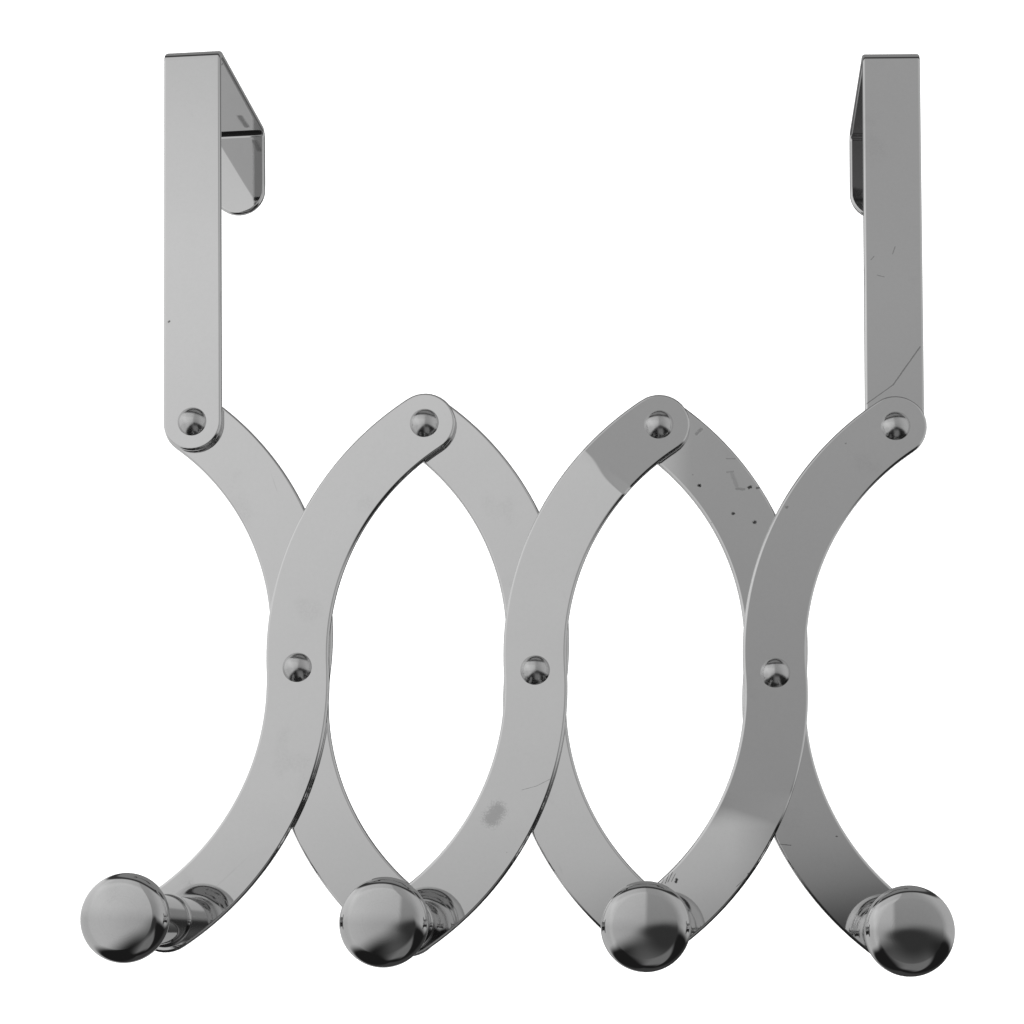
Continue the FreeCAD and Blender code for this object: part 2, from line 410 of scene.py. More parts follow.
def strip_mesh(name, path_at, total, spots, holes, half_width, edge):
    """A flat or bent strip with round ends, holes and rounded edges."""
    along, path = strip_stations(total, spots, holes)
    path.update(zip(("place", "along", "across", "through"), path_at(along)))
    return smooth_mesh(name, [plate_grid(path, half_width, edge, side) for side in (1, -1)])


def arm_path(radius, spacing):
    """The middle line of an S-shaped arm as a function of the length along it, and that length.

    The chord is upright and the middle hole at the origin. Each half is one arc:
    place = centre + radius * (-cos a, sin a), for a from -sweep to sweep, and the lower half is
    the upper one turned half a turn.
    """
    sweep = math.asin(spacing / 2 / radius)
    half = 2 * sweep * radius
    centre = np.array([radius * math.cos(sweep), spacing / 2])

    def at(along):
        zero = np.zeros(len(along))
        reach = along - half
        angle = np.abs(reach) / radius - sweep
        upper = centre + radius * np.stack([-np.cos(angle), np.sin(angle)], 1)
        place = upper * np.where(reach < 0, -1.0, 1.0)[:, None]
        way = np.stack([np.sin(angle), zero, np.cos(angle)], 1)
        across = np.stack([np.cos(angle), zero, -np.sin(angle)], 1)
        return np.stack([place[:, 0], zero, place[:, 1]], 1), way, across, np.tile(TO_WALL, (len(along), 1))

    return at, 2 * half


def hanger_path(front_end, back_end, depth, radius):
    """The outer face of the twice bent strip in its side view, and the ends of its runs and bends.

    Straight runs joined by quarter circles about two centres. The length runs from the front
    hole up the front leg, back over the seat and down the rear leg.
    """
    runs = (-front_end - radius + STRIP, 2 * (depth - radius), back_end - radius + STRIP)
    quarter = math.pi / 2 * radius
    marks = np.cumsum([0.0, runs[0], quarter, runs[1], quarter, runs[2]])

    def at(along):
        first = np.clip((along - marks[1]) / quarter, 0.0, 1.0) * math.pi / 2
        second = np.clip((along - marks[3]) / quarter, 0.0, 1.0) * math.pi / 2
        turn = first + second
        lift = np.clip(along, 0.0, marks[1])
        over = np.clip(along - marks[2], 0.0, runs[1])
        drop = np.clip(along - marks[4], 0.0, runs[2])
        y = -depth + radius * (1 - np.cos(first)) + over + radius * np.sin(second)
        z = front_end + lift + radius * np.sin(first) - radius * (1 - np.cos(second)) - drop
        zero = np.zeros(len(along))
        way = np.stack([zero, np.sin(turn), np.cos(turn)], 1)
        across = np.tile([1.0, 0.0, 0.0], (len(along), 1))
        through = np.stack([zero, np.cos(turn), -np.sin(turn)], 1)
        return np.stack([zero, y, z], 1), way, across, through

    return at, marks


# Placing


def stand_in(node, mesh, make, place, turn=0.0, over=False):
    """Stands a mesh in for a CAD node: turned over, turned clockwise and moved to its place.

    It follows the node's body, and one of the metals fills the record's slot.
    """
    matrix = Matrix.Translation(Vector(place)) @ Matrix.Rotation(turn, 4, "Y")
    if over:
        matrix = matrix @ Matrix.Rotation(math.pi, 4, "Z")
    mesh.transform(matrix)
    piece = bpy.data.objects.new(f"polished_{node}", mesh)
    bpy.context.scene.collection.objects.link(piece)
    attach(piece, frame["nodes"][node]["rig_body"])
    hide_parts(node)
    mesh.materials.append(metal(make))


def top_pivot(number):
    """The place of a pivot on the top row."""
    return PIVOT["opening"] if number == 1 else PIVOT[f"top_pivot_{number}"]


def middle_pivot(number):
    """The place of a pivot on the middle row."""
    return PIVOT[f"middle_pivot_{number}"]


def bottom_pivot(number):
    """The place of a peg: as far below a middle pivot as its arm's upper end is above it."""
    cell, upper = (number, number + 1) if number < 4 else (3, 3)
    return 2 * middle_pivot(cell) - top_pivot(upper)


def at_depth(place, depth):
    """The place moved to this depth along Y."""
    return (place[0], depth, place[2])


# Materials


def new_material(name, bare=False):
    """A new material and its node tree, with or without the usual shader."""
    material = bpy.data.materials.new(name)
    material.use_nodes = True
    if bare:
        material.node_tree.nodes.clear()
    return material, material.node_tree


def plug(tree, value, socket):
    """Feeds a socket from another node's output, or sets it to a plain value."""
    if isinstance(value, bpy.types.NodeSocket):
        tree.links.new(value, socket)
    else:
        socket.default_value = value


def plug_all(tree, plugs, inputs):
    """Feeds or sets several inputs, by name or number."""
    for name, value in plugs.items():
        plug(tree, value, inputs[name])


def add_node(tree, kind, plugs, **settings):
    """A node with its settings made and its inputs plugged."""
    node = tree.nodes.new(f"ShaderNode{kind}")
    for name, value in settings.items():
        setattr(node, name, value)
    plug_all(tree, plugs, node.inputs)
    return node


def maths(tree, operation, *values):
    """The result of a Math node."""
    return add_node(tree, "Math", dict(enumerate(values)), operation=operation).outputs[0]


def vectors(tree, operation, *values):
    """The outputs of a Vector Math node: the first is a vector, and Value a number."""
    return add_node(tree, "VectorMath", dict(enumerate(values)), operation=operation).outputs


def ramp(tree, value, low, high):
    """0 where the value is at or below low, 1 at or above high, and an S curve between."""
    plugs = {"Value": value, "From Min": low, "From Max": high}
    return add_node(tree, "MapRange", plugs, interpolation_type="SMOOTHSTEP").outputs[0]


def noise(tree, place, scale, detail=2.0):
    """The grey of a Noise Texture in 3D."""
    return add_node(tree, "TexNoise", {"Vector": place, "Scale": scale, "Detail": detail}).outputs["Fac"]


def object_place(tree):
    """A place on the object, in metres."""
    return tree.nodes.new("ShaderNodeTexCoord").outputs["Object"]


def build_group(name, make):
    """The node group of an effect, built by its function.

    The function's named arguments are the group's inputs, those without a number being vectors,
    and it returns the group's outputs by name.
    """
    tree = bpy.data.node_groups.new(name, "ShaderNodeTree")
    inputs = make.__kwdefaults__
    for label, default in inputs.items():
        kind = "NodeSocketVector" if default is None else "NodeSocketFloat"
        socket = tree.interface.new_socket(label, in_out="INPUT", socket_type=kind)
        if default is not None:
            socket.default_value = default
    results = make(tree, **dict(zip(inputs, tree.nodes.new("NodeGroupInput").outputs)))
    for label in results:
        tree.interface.new_socket(label, in_out="OUTPUT", socket_type="NodeSocketFloat")
    plug_all(tree, results, tree.nodes.new("NodeGroupOutput").inputs)
    return tree


def effect(tree, make, **plugs):
    """The outputs of an effect placed in a material. Its node group is built on first use."""
    name = make.__name__
    group = bpy.data.node_groups[name] if name in bpy.data.node_groups else build_group(name, make)
    return add_node(tree, "Group", plugs, node_tree=group).outputs


def plating_mottle(tree, *, place=None, grain=900.0, cloud=45.0, depth=0.06):
    """Fine cloudiness of polished plating: two sizes of noise about 1, and their height."""
    fine = noise(tree, place, grain, 3.0)
    spread = maths(tree, "SUBTRACT", maths(tree, "ADD", fine, noise(tree, place, cloud)), 1.0)
    return {"factor": maths(tree, "MULTIPLY_ADD", spread, depth, 1.0), "height": fine}


def finger_smudges(tree, *, place=None, scale=55.0, cover=0.4):
    """Finger smudges: patches where a broad noise is high, broken up by a finer one."""
    edge = maths(tree, "MULTIPLY_ADD", cover, -0.5, 0.8)
    patches = ramp(tree, noise(tree, place, scale, 3.0), edge, maths(tree, "ADD", edge, 0.12))
    fine = noise(tree, place, maths(tree, "MULTIPLY", scale, 22.0), 4.0)
    return {"mask": maths(tree, "MULTIPLY", patches, ramp(tree, fine, 0.1, 0.8))}


def hairline_scratches(tree, *, place=None, turn=0.0, scale=420.0, cover=0.3):
    """Fine scratches in one direction: the peaks of a noise drawn out along it, in stretches."""
    axis = {"Vector": place, "Axis": (0.0, 1.0, 0.0), "Angle": turn}
    turned = add_node(tree, "VectorRotate", axis).outputs[0]
    drawn = vectors(tree, "MULTIPLY", turned, (1.0, 1.0, 0.03))[0]
    lines = ramp(tree, noise(tree, drawn, scale), 0.69, 0.74)
    edge = maths(tree, "MULTIPLY_ADD", cover, -0.5, 0.75)
    stretches = ramp(tree, noise(tree, place, 70.0), edge, 0.8)
    return {"mask": maths(tree, "MULTIPLY", lines, stretches)}


def dust_specks(tree, *, place=None, scale=160.0, cover=0.05, size=0.05):
    """Scattered pits and dust: small spots about the points of a Voronoi Texture, in a few cells."""
    spots = add_node(tree, "TexVoronoi", {"Vector": place, "Scale": scale}).outputs
    lot = add_node(tree, "SeparateColor", {0: spots["Color"]}).outputs[0]
    near = maths(tree, "SUBTRACT", 1.0, ramp(tree, spots["Distance"], 0.0, size))
    return {"mask": maths(tree, "MULTIPLY", maths(tree, "LESS_THAN", lot, cover), near)}


def placed_stroke(tree, *, place=None, start=None, end=None, half_width=0.0003, edge=1.0, strength=1.0):
    """One mark from a start to an end: full on its line and 0 at its half width times its edge.

    The distance to the line is that to start + (end - start) * part, where part is how far
    along the line the place lies, kept between 0 and 1. The edge is a noise about 1.
    """
    from_start = vectors(tree, "SUBTRACT", place, start)[0]
    line = vectors(tree, "SUBTRACT", end, start)[0]
    reach = vectors(tree, "DOT_PRODUCT", from_start, line)["Value"]
    square = vectors(tree, "DOT_PRODUCT", line, line)["Value"]
    part = maths(tree, "DIVIDE", reach, maths(tree, "MAXIMUM", square, 1e-12))
    part = add_node(tree, "Clamp", {"Value": part}).outputs[0]
    nearest = add_node(tree, "VectorMath", {0: line, "Scale": part}, operation="SCALE").outputs[0]
    distance = vectors(tree, "LENGTH", vectors(tree, "SUBTRACT", from_start, nearest)[0])["Value"]
    used = maths(tree, "DIVIDE", distance, maths(tree, "MULTIPLY", half_width, edge))
    mask = maths(tree, "SUBTRACT", 1.0, ramp(tree, used, 0.3, 1.0))
    return {"mask": maths(tree, "MULTIPLY", mask, strength)}


def strip_twist(tree, *, place=None, middle=None, along=None, side=None, onset=0.01, reach=0.055):
    """A slight twist at the end of a front strip: the height of a slope that sets in over a length.

    The height is the distance across, measured along the side, times an S curve of the distance
    past the middle along the strip, from 0 to the onset. The side is as long as the slope. The
    twist reaches no further than its reach from the middle, and stays out of the rear layer.
    """
    from_middle = vectors(tree, "SUBTRACT", place, middle)[0]
    past = vectors(tree, "DOT_PRODUCT", from_middle, along)["Value"]
    across = vectors(tree, "DOT_PRODUCT", from_middle, side)["Value"]
    depth = add_node(tree, "SeparateXYZ", {0: place}).outputs[1]
    near = maths(tree, "LESS_THAN", vectors(tree, "LENGTH", from_middle)["Value"], reach)
    in_front = maths(tree, "LESS_THAN", depth, float(FRONT_LAYER + REAR_LAYER) / 2)
    raised = maths(tree, "MULTIPLY", across, ramp(tree, past, 0.0, onset))
    return {"height": maths(tree, "MULTIPLY", raised, maths(tree, "MULTIPLY", near, in_front))}


def lathe_lines(tree, *, along=0.0, spacing=0.0004):
    """Turning lines: a noise that changes only with the length along the turned outline."""
    plugs = {"W": maths(tree, "DIVIDE", along, spacing), "Scale": 1.0, "Detail": 3.0}
    lines = add_node(tree, "TexNoise", plugs, noise_dimensions="1D").outputs["Fac"]
    return {"height": lines, "mask": ramp(tree, lines, 0.58, 0.75)}


def strongest(tree, masks):
    """The highest of some masks."""
    total = masks[0]
    for mask in masks[1:]:
        total = maths(tree, "MAXIMUM", total, mask)
    return total


def weighted_sum(tree, *terms):
    """The sum of each value times its weight."""
    total = 0.0
    for value, weight in terms:
        total = maths(tree, "MULTIPLY_ADD", value, weight, total)
    return total


def dress_metal(tree, plating, factor, haze, wear, height):
    """Sets a metal's shader from its plating's colour times a factor, its haze and its height.

    wear holds, for each kind of it, a mask, how much it darkens and how much it roughens.
    """
    for mask, loss, rough in wear:
        factor = maths(tree, "MULTIPLY", factor, maths(tree, "MULTIPLY_ADD", mask, -loss, 1.0))
        haze = maths(tree, "MULTIPLY_ADD", mask, rough, haze)
    shade = add_node(tree, "CombineXYZ", {0: factor, 1: factor, 2: factor}).outputs[0]
    colour = vectors(tree, "MULTIPLY", tuple(plating), shade)[0]
    bump = add_node(tree, "Bump", {"Height": height, "Strength": 1.0, "Distance": 1.0}).outputs[0]
    plugs = {"Base Color": colour, "Roughness": haze, "Metallic": 1.0, "Normal": bump}
    plug_all(tree, plugs, tree.nodes["Principled BSDF"].inputs)


def on_strip(pivot, layer, right, up):
    """A place on a strip's front face, this many millimetres right of and above a pivot."""
    return Vector((pivot[0] + right * MM, layer, pivot[2] + up * MM))


def strip_marks():
    """The marks that the photograph shows on the strips.

    Each has its start and end in millimetres from a pivot, its half width and its strength.
    """
    seat = Vector(SEAT["left_seat"]["pos_m"])
    start, end = Vector((4.2, 16.0, 0.2)) * MM, Vector((4.6, 25.0, 0.2)) * MM
    yield {"start": seat + start, "end": seat + end, "half_width": 1.5 * MM, "strength": 0.6}
    for pivot, layer, marks in (
        (top_pivot(4), REAR_LAYER, (
            ((-9.6, 7.5), (-0.6, 14.2), 0.22, 0.6),
            ((-0.6, 14.2), (8.1, 26.9), 0.3, 0.6),
            ((-7.6, 56.2), (-6.6, 57.4), 0.25, 0.4),
            ((-0.6, 58.2), (0.2, 60.6), 0.25, 0.4),
            ((-5.6, 51.0), (-3.4, 50.4), 0.22, 0.4),
        )),
        (top_pivot(1), FRONT_LAYER, (
            ((-9.4, 33.4), (-9.2, 33.6), 0.5, 0.9),
        )),
        (bottom_pivot(3), FRONT_LAYER, (
            ((3.2, 13.8), (4.7, 17.0), 0.16, 0.6),
            ((4.3, 13.8), (5.6, 17.3), 0.14, 0.8),
            ((5.1, 14.2), (6.5, 17.3), 0.16, 0.7),
            ((6.2, 14.4), (7.4, 16.8), 0.14, 0.5),
            ((7.6, 14.3), (7.8, 15.0), 0.5, 1.1),
            ((26.4, 13.2), (29.0, 15.6), 0.14, 0.4),
            ((30.0, 17.1), (30.2, 17.1), 0.4, 0.8),
        )),
        (top_pivot(3), REAR_LAYER, (
            ((13.2, -19.4), (13.4, -19.4), 0.8, 1.2),
            ((29.2, -19.9), (29.6, -19.8), 0.8, 1.1),
            ((31.6, -20.1), (32.2, -20.0), 0.5, 0.9),
            ((30.8, -31.3), (31.1, -31.3), 0.8, 1.1),
            ((24.1, -28.5), (24.3, -28.5), 0.7, 1.1),
            ((21.8, -10.5), (24.6, -10.5), 0.3, 0.4),
            ((22.0, -15.0), (24.2, -14.7), 0.4, 0.35),
            ((23.6, -15.5), (25.4, -20.0), 0.9, 0.22),
            ((25.2, -20.4), (27.6, -20.5), 0.6, 0.4),
            ((12.2, -2.4), (13.6, -0.8), 0.8, 0.5),
        )),
        (middle_pivot(3), FRONT_LAYER, (
            ((3.1, 53.1), (3.4, 53.2), 0.6, 0.5),
            ((21.8, 74.1), (22.0, 74.1), 0.4, 0.5),
        )),
        (bottom_pivot(4), REAR_LAYER, (
            ((-18.5, 29.2), (-18.3, 29.2), 0.35, 0.7),
            ((-36.0, 26.5), (-32.5, 26.2), 0.2, 0.5),
        )),
        (middle_pivot(2), FRONT_LAYER, (
            ((-3.1, -37.9), (1.4, -36.6), 0.14, 0.4),
            ((1.4, -36.6), (5.6, -34.4), 0.14, 0.4),
            ((-12.4, -47.0), (-10.6, -44.4), 3.6, 0.35),
        )),
        (bottom_pivot(1), FRONT_LAYER, (
            ((2.4, -7.6), (4.4, -8.5), 0.5, 1.0),
            ((4.4, -8.5), (6.5, -7.2), 0.4, 1.0),
        )),
    ):
        for start, end, half_width, strength in marks:
            ends = {"start": on_strip(pivot, layer, *start), "end": on_strip(pivot, layer, *end)}
            yield {**ends, "half_width": half_width * MM, "strength": strength}


def strip_twists():
    """Where two of the front arms are slightly twisted, so that their ends mirror another wall.

    Each has a point in millimetres from a pivot, the way along the strip, the slope across and
    the length over which it sets in.
    """
    for pivot, point, along, tilt, onset in (
        (top_pivot(3), (-19.3, -16.9), (0.62, 0.0, 0.785), -0.055, 4.0),
        (bottom_pivot(3), (26.8, 43.0), (0.0, 0.0, -1.0), 0.042, 12.0),
    ):
        middle = on_strip(pivot, FRONT_LAYER, *point)
        yield {"middle": middle, "along": along, "side": (tilt, 0.0, 0.0), "onset": onset * MM}


def strip_chrome(name, settings):
    """Mirror-bright strip: faint mottling and waves, smudges, hairlines, specks and its marks."""
    tree = new_material(name)[1]
    place = object_place(tree)
    mottle = effect(tree, plating_mottle, place=place, depth=0.04)
    smudges = effect(tree, finger_smudges, place=place)["mask"]
    hairlines = strongest(tree, [
        effect(tree, hairline_scratches, place=place, turn=turn)["mask"] for turn in (0.35, -0.8)
    ])
    specks = effect(tree, dust_specks, place=place)["mask"]
    edge = maths(tree, "MULTIPLY", noise(tree, place, 2600.0, 3.0), 2.0)
    marks = strongest(tree, [
        effect(tree, placed_stroke, place=place, edge=edge, **mark)["mask"] for mark in strip_marks()
    ])
    twists = [(effect(tree, strip_twist, place=place, **twist)["height"], 1.0) for twist in strip_twists()]
    waves = noise(tree, place, 22.0), 8e-5
    height = weighted_sum(tree, waves, *twists, (mottle["height"], 3e-7), (hairlines, -6e-7), (marks, -1e-5))
    worn = settings.wear
    wear = (
        (smudges, 0.06 * worn, 0.06 * worn),
        (hairlines, 0.1 * worn, 0.1 * worn),
        (specks, 0.5 * worn, 0.0),
        (marks, 0.8 * worn, 0.3 * worn),
    )
    dress_metal(tree, settings.strip_chrome, mottle["factor"], settings.strip_haze, wear, height)


def turned_chrome(name, haze, settings):
    """Mirror-bright turned metal: the same plating over fine turning lines."""
    tree = new_material(name)[1]
    place = object_place(tree)
    along = add_node(tree, "Attribute", {}, attribute_name="turning").outputs["Fac"]
    lathe = effect(tree, lathe_lines, along=along)
    mottle = effect(tree, plating_mottle, place=place, grain=1400.0)
    smudges = effect(tree, finger_smudges, place=place, scale=90.0)["mask"]
    specks = effect(tree, dust_specks, place=place, scale=260.0)["mask"]
    height = weighted_sum(tree, (lathe["height"], 8e-7), (mottle["height"], 2.2e-6 * haze))
    worn = settings.wear
    wear = (
        (smudges, 0.05 * worn, 0.05 * worn),
        (lathe["mask"], 0.02 * worn, 0.04 * worn),
        (specks, 0.4 * worn, 0.0),
    )
    dress_metal(tree, settings.turned_chrome, mottle["factor"], haze, wear, height)


def peg_chrome(name, settings):
    """The pegs' plating."""
    turned_chrome(name, settings.peg_haze, settings)


def rivet_chrome(name, settings):
    """The rivets' plating, duller than the pegs'."""
    turned_chrome(name, settings.rivet_haze, settings)


def zinc_plating(name, settings):
    """Dull zinc on the screws: mottled, lightly scratched and stained."""
    tree = new_material(name)[1]
    place = object_place(tree)
    mottle = effect(tree, plating_mottle, place=place, grain=1500.0, cloud=260.0, depth=0.3)
    smudges = effect(tree, finger_smudges, place=place, scale=240.0, cover=0.6)["mask"]
    hairlines = effect(tree, hairline_scratches, place=place, turn=0.6, cover=0.8)["mask"]
    height = weighted_sum(tree, (mottle["height"], 3e-6), (hairlines, -2e-6))
    wear = (smudges, 0.2, 0.2), (hairlines, 0.15, 0.1)
    dress_metal(tree, settings.zinc, mottle["factor"], settings.zinc_haze, wear, height)


def metal(make):
    """One of the metals, made on first use."""
    name = make.__name__
    if name not in bpy.data.materials:
        make(name, bpy.context.scene.hook_rail_finish)
    return bpy.data.materials[name]


# Operators


class HOOK_OT_hangers(bpy.types.Operator):
    """Makes the two bent strip hangers"""

    bl_idname = "hook.hangers"
    bl_label = "Hangers"

    def execute(self, context):
        sizes = context.scene.hook_rail_strip
        half = sizes.hanger_width / 2
        depth = sizes.seat_depth / 2 + STRIP
        at, marks = hanger_path(-sizes.seat_to_rivet, sizes.rear_leg - half, depth, sizes.bend + STRIP)
        points = (9, 11, 9, 11, 9)
        spots = np.concatenate([np.linspace(*run) for run in zip(marks, marks[1:], points)])
        holes = [(0.0, sizes.rivet_hole / 2)]
        for side in ("left", "right"):
            node, seat = f"{side}_hanger", SEAT[f"{side}_seat"]
            lean = math.atan2(seat["axis"][0], -seat["axis"][2])
            mesh = strip_mesh(node, at, marks[-1], spots, holes, half, sizes.edge_round)
            stand_in(node, mesh, strip_chrome, seat["pos_m"], -lean)
        return {"FINISHED"}


class HOOK_OT_arms(bpy.types.Operator):
    """Makes the six S-shaped arms of the linkage"""

    bl_idname = "hook.arms"
    bl_label = "Arms"

    def execute(self, context):
        sizes = context.scene.hook_rail_strip
        hole = sizes.rivet_hole / 2
        for cell in CELLS:
            centre = middle_pivot(cell)
            rise = top_pivot(cell + 1) - centre
            fold = math.atan2(rise[0], rise[2])
            at, total = arm_path(sizes.arm_arc, float(np.linalg.norm(rise)))
            spots = np.linspace(0.0, total, 73)
            holes = [(0.0, sizes.peg_hole / 2), (total / 2, hole), (total, hole)]
            for node, depth, turn, over in (
                (f"front_arm_{cell}", FRONT_LAYER, fold, False),
                (f"rear_arm_{cell}", REAR_LAYER + STRIP, -fold, True),
            ):
                mesh = strip_mesh(node, at, total, spots, holes, sizes.arm_width / 2, sizes.edge_round)
                stand_in(node, mesh, strip_chrome, at_depth(centre, depth), turn, over)
        return {"FINISHED"}


class HOOK_OT_rivets(bpy.types.Operator):
    """Makes the round-head rivets"""

    bl_idname = "hook.rivets"
    bl_label = "Rivets"

    def execute(self, context):
        sizes = context.scene.hook_rail_rivet
        head, shank, tail = sizes.head / 2, sizes.shank / 2, sizes.tail / 2
        height, grip, roll = sizes.head_height, sizes.grip, sizes.tail_round
        rear = grip + sizes.tail_height
        dome = (head ** 2 + height ** 2) / (2 * height)
        swing = math.degrees(math.asin(head / dome))
        outline = [
            curved((0.0, dome - height), dome, -90.0, swing - 90.0, 24),
            *straights((head, 0.0), (shank, 0.0), (shank, grip), (tail, grip), (tail, rear - roll)),
            curved((tail - roll, rear - roll), roll, 0.0, 90.0, 6),
            straight((tail - roll, rear), (0.0, rear)),
        ]
        places = {f"top_rivet_{n}": top_pivot(n) for n in PIVOTS}
        places.update({f"middle_rivet_{n}": middle_pivot(n) for n in CELLS})
        for node, place in places.items():
            mesh = turned_mesh(node, outline, TURNED_SEGMENTS["rivet"])
            stand_in(node, mesh, rivet_chrome, at_depth(place, FRONT_LAYER))
        return {"FINISHED"}


def peg_layers(number):
    """The depth of the face that a peg's foot stands on, and how far behind it the peg ends."""
    strips = 2 if number in (2, 3) else 1
    return (REAR_LAYER if number == 4 else FRONT_LAYER), strips * (STRIP + LAYER_GAP)


def peg_outline(sizes, rear):
    """The outline of a peg from the middle of its face to the bottom of its bore."""
    head, neck, edge, fillet = sizes.head / 2, sizes.neck / 2, sizes.edge, sizes.head_fillet
    offset = head - edge
    face_centre = (0.0, sizes.face - sizes.reach)
    edge_depth = face_centre[1] - math.sqrt((sizes.face - edge) ** 2 - offset ** 2)
    face_end = math.degrees(math.asin(offset / (sizes.face - edge))) - 90.0
    rise = math.sqrt((edge + fillet) ** 2 - (neck + fillet - offset) ** 2)
    back_end = math.degrees(math.atan2(rise, neck + fillet - offset))
    foot, rim = neck + sizes.foot_fillet, -sizes.foot_rim
    foot_depth = rim - sizes.foot_fillet
    spigot, bore, floor = sizes.spigot / 2, sizes.bore / 2, rear - sizes.bore_depth
    inside = (spigot, 0.0), (spigot, rear), (bore, rear), (bore, floor), (0.0, floor)
    return [
        curved(face_centre, sizes.face, -90.0, face_end, 16),
        curved((offset, edge_depth), edge, face_end, back_end, 32),
        curved((neck + fillet, edge_depth + rise), fillet, back_end - 180.0, -180.0, 16, True),
        straight((neck, edge_depth + rise), (neck, foot_depth), 8),
        curved((foot, foot_depth), sizes.foot_fillet, 180.0, 90.0, 14, True),
        *straights((foot, rim), (foot, 0.0), *inside),
    ]


class HOOK_OT_pegs(bpy.types.Operator):
    """Makes the turned mushroom pegs"""

    bl_idname = "hook.pegs"
    bl_label = "Pegs"

    def execute(self, context):
        for number in PIVOTS:
            node, (depth, rear) = f"peg_{number}", peg_layers(number)
            outline = peg_outline(context.scene.hook_rail_peg, rear)
            mesh = turned_mesh(node, outline, TURNED_SEGMENTS["peg"])
            stand_in(node, mesh, peg_chrome, at_depth(bottom_pivot(number), depth))
        return {"FINISHED"}


def screw_grids(sizes, segments):
    """The screw as two grids: its shank and the underside, and its head with the cross recess.

    The head's height over the distance d from the axis is flat, then a quarter circle at the
    edge. The recess is sunk into it where a point lies in either wing, with sloping walls, and
    is deepest on the axis.
    """
    head, shank, height, roll = sizes.head / 2, sizes.shank / 2, sizes.head_height, sizes.head_round
    end, edge = -sizes.reach, height - roll
    under = straights((0.0, end), (shank, end), (shank, 0.0), (head, 0.0), (head, edge))
    turn = np.linspace(0.0, 2 * math.pi, segments + 1)
    turn[-1] = 0.0
    quarter = np.linspace(0.0, math.pi / 2, 9)
    flat = np.linspace(head - roll, 0.0, 34)[1:]
    distance = np.concatenate([head - roll + roll * np.cos(quarter), flat])
    base = np.concatenate([edge + roll * np.sin(quarter), np.full(len(flat), height)])
    x, z = np.outer(np.cos(turn), distance), np.outer(np.sin(turn), distance)

    def inside(value, limit):
        return np.clip((limit - np.abs(value)) / sizes.wing_slope + 0.5, 0.0, 1.0)

    wings = [inside(along, sizes.recess) * inside(across, sizes.wing) for along, across in ((x, z), (z, x))]
    fall = np.clip(1.25 - distance / sizes.recess * 0.6, 0.0, 1.0)
    points = np.stack([x, base - np.maximum(*wings) * sizes.recess_depth * fall, z], -1)
    spread = np.gradient(points, axis=0)
    spread[0] = spread[-1] = points[1] - points[-2]
    around = np.stack([-np.sin(turn), 0 * turn, np.cos(turn)], -1)[:, None]
    spread = np.where(distance[None, :, None] > 1e-6, spread, around)
    normals = np.cross(np.gradient(points, axis=1), spread)
    normals /= np.maximum(np.linalg.norm(normals, axis=-1, keepdims=True), 1e-12)
    normals[:, -1] = TO_WALL
    keep = np.ones((segments, len(distance) - 1), bool)
    return [turned_grid(under, segments), (points, normals[:, :-1], normals[:, 1:], keep)]


class HOOK_OT_screws(bpy.types.Operator):
    """Makes the screws behind the pegs"""

    bl_idname = "hook.screws"
    bl_label = "Screws"

    def execute(self, context):
        for number in PIVOTS:
            node, place = f"peg_screw_{number}", at_depth(bottom_pivot(number), sum(peg_layers(number)))
            mesh = smooth_mesh(node, screw_grids(context.scene.hook_rail_screw, TURNED_SEGMENTS["screw"]))
            stand_in(node, mesh, zinc_plating, place)
        return {"FINISHED"}


def smooth_step(value, middle, width):
    """0 below, 1 above and an even S curve over this width about the middle."""
    part = np.clip((value - middle) / width + 0.5, 0.0, 1.0)
    return part * part * (3 - 2 * part)


def bell(value, middle, width):
    """A bell curve that is 1 at the middle: exp(-((value - middle) / width) ** 2)."""
    return np.exp(-(((value - middle) / width) ** 2))


def slope(value, start, end, change):
    """0 up to the start, this change from the end on, and a straight slope between them."""
    return change * np.clip((value - start) / (end - start), 0.0, 1.0)


def blend(first, second, part):
    """The first where the part is 0, the second where it is 1, and a mix between."""
    return first + (second - first) * part


def tent_walls(azimuth, height, settings):
    """The upper tent: a left wall, a duller band right of the camera, a right wall and a back wall.

    The left wall grows lighter to the left and upwards, and a lighter streak slopes down across
    it. Above the eaves, a line that falls to both sides, runs a dark seam, and above the seam
    lies the roof. Each smooth_step gives the middle and the width of an edge in degrees.
    """
    grey = settings.left_wall + slope(-azimuth, -10, 25, 0.1225) + slope(-azimuth, 25, 145, 0.108)
    grey = grey + slope(height, 0, 25, 0.0875) + slope(height, 28, 38, -0.12) + slope(-height, -1, 7, -0.12)
    grey = grey + 0.085 * bell(azimuth, -38 - np.maximum(height, 0.0), 14.5)
    corner = settings.corner + slope(height, 0, 26, 0.0728)
    back_wall = np.where(azimuth < 0, settings.back_wall, 0.5 * settings.back_wall)
    grey = blend(grey, corner, smooth_step(azimuth, 1.4, 3))
    grey = blend(grey, settings.right_wall, smooth_step(azimuth, 48, 60))
    grey = blend(grey, back_wall, smooth_step(np.abs(azimuth), 145, 40))
    eaves = 64 - 22 * (azimuth / 100) ** 2
    grey = blend(grey, settings.seam, smooth_step(height, eaves, 8))
    return grey + (settings.roof - settings.seam) * smooth_step(height, eaves + 16, 8)


def table_grey(azimuth, height, settings):
    """What lies below the tent: dark edges, a lighter wedge in front, and duller grey behind."""
    wedge_top = 6 - 0.95 * np.maximum(azimuth, 0.0)
    wedge = smooth_step(azimuth, -2, 32) * smooth_step(wedge_top - height, 0, 12)
    grey = blend(settings.table, settings.front, wedge)
    grey = blend(grey, settings.table, smooth_step(-height, 70, 16))
    return blend(grey, settings.behind, smooth_step(np.abs(azimuth + 10), 138, 40))


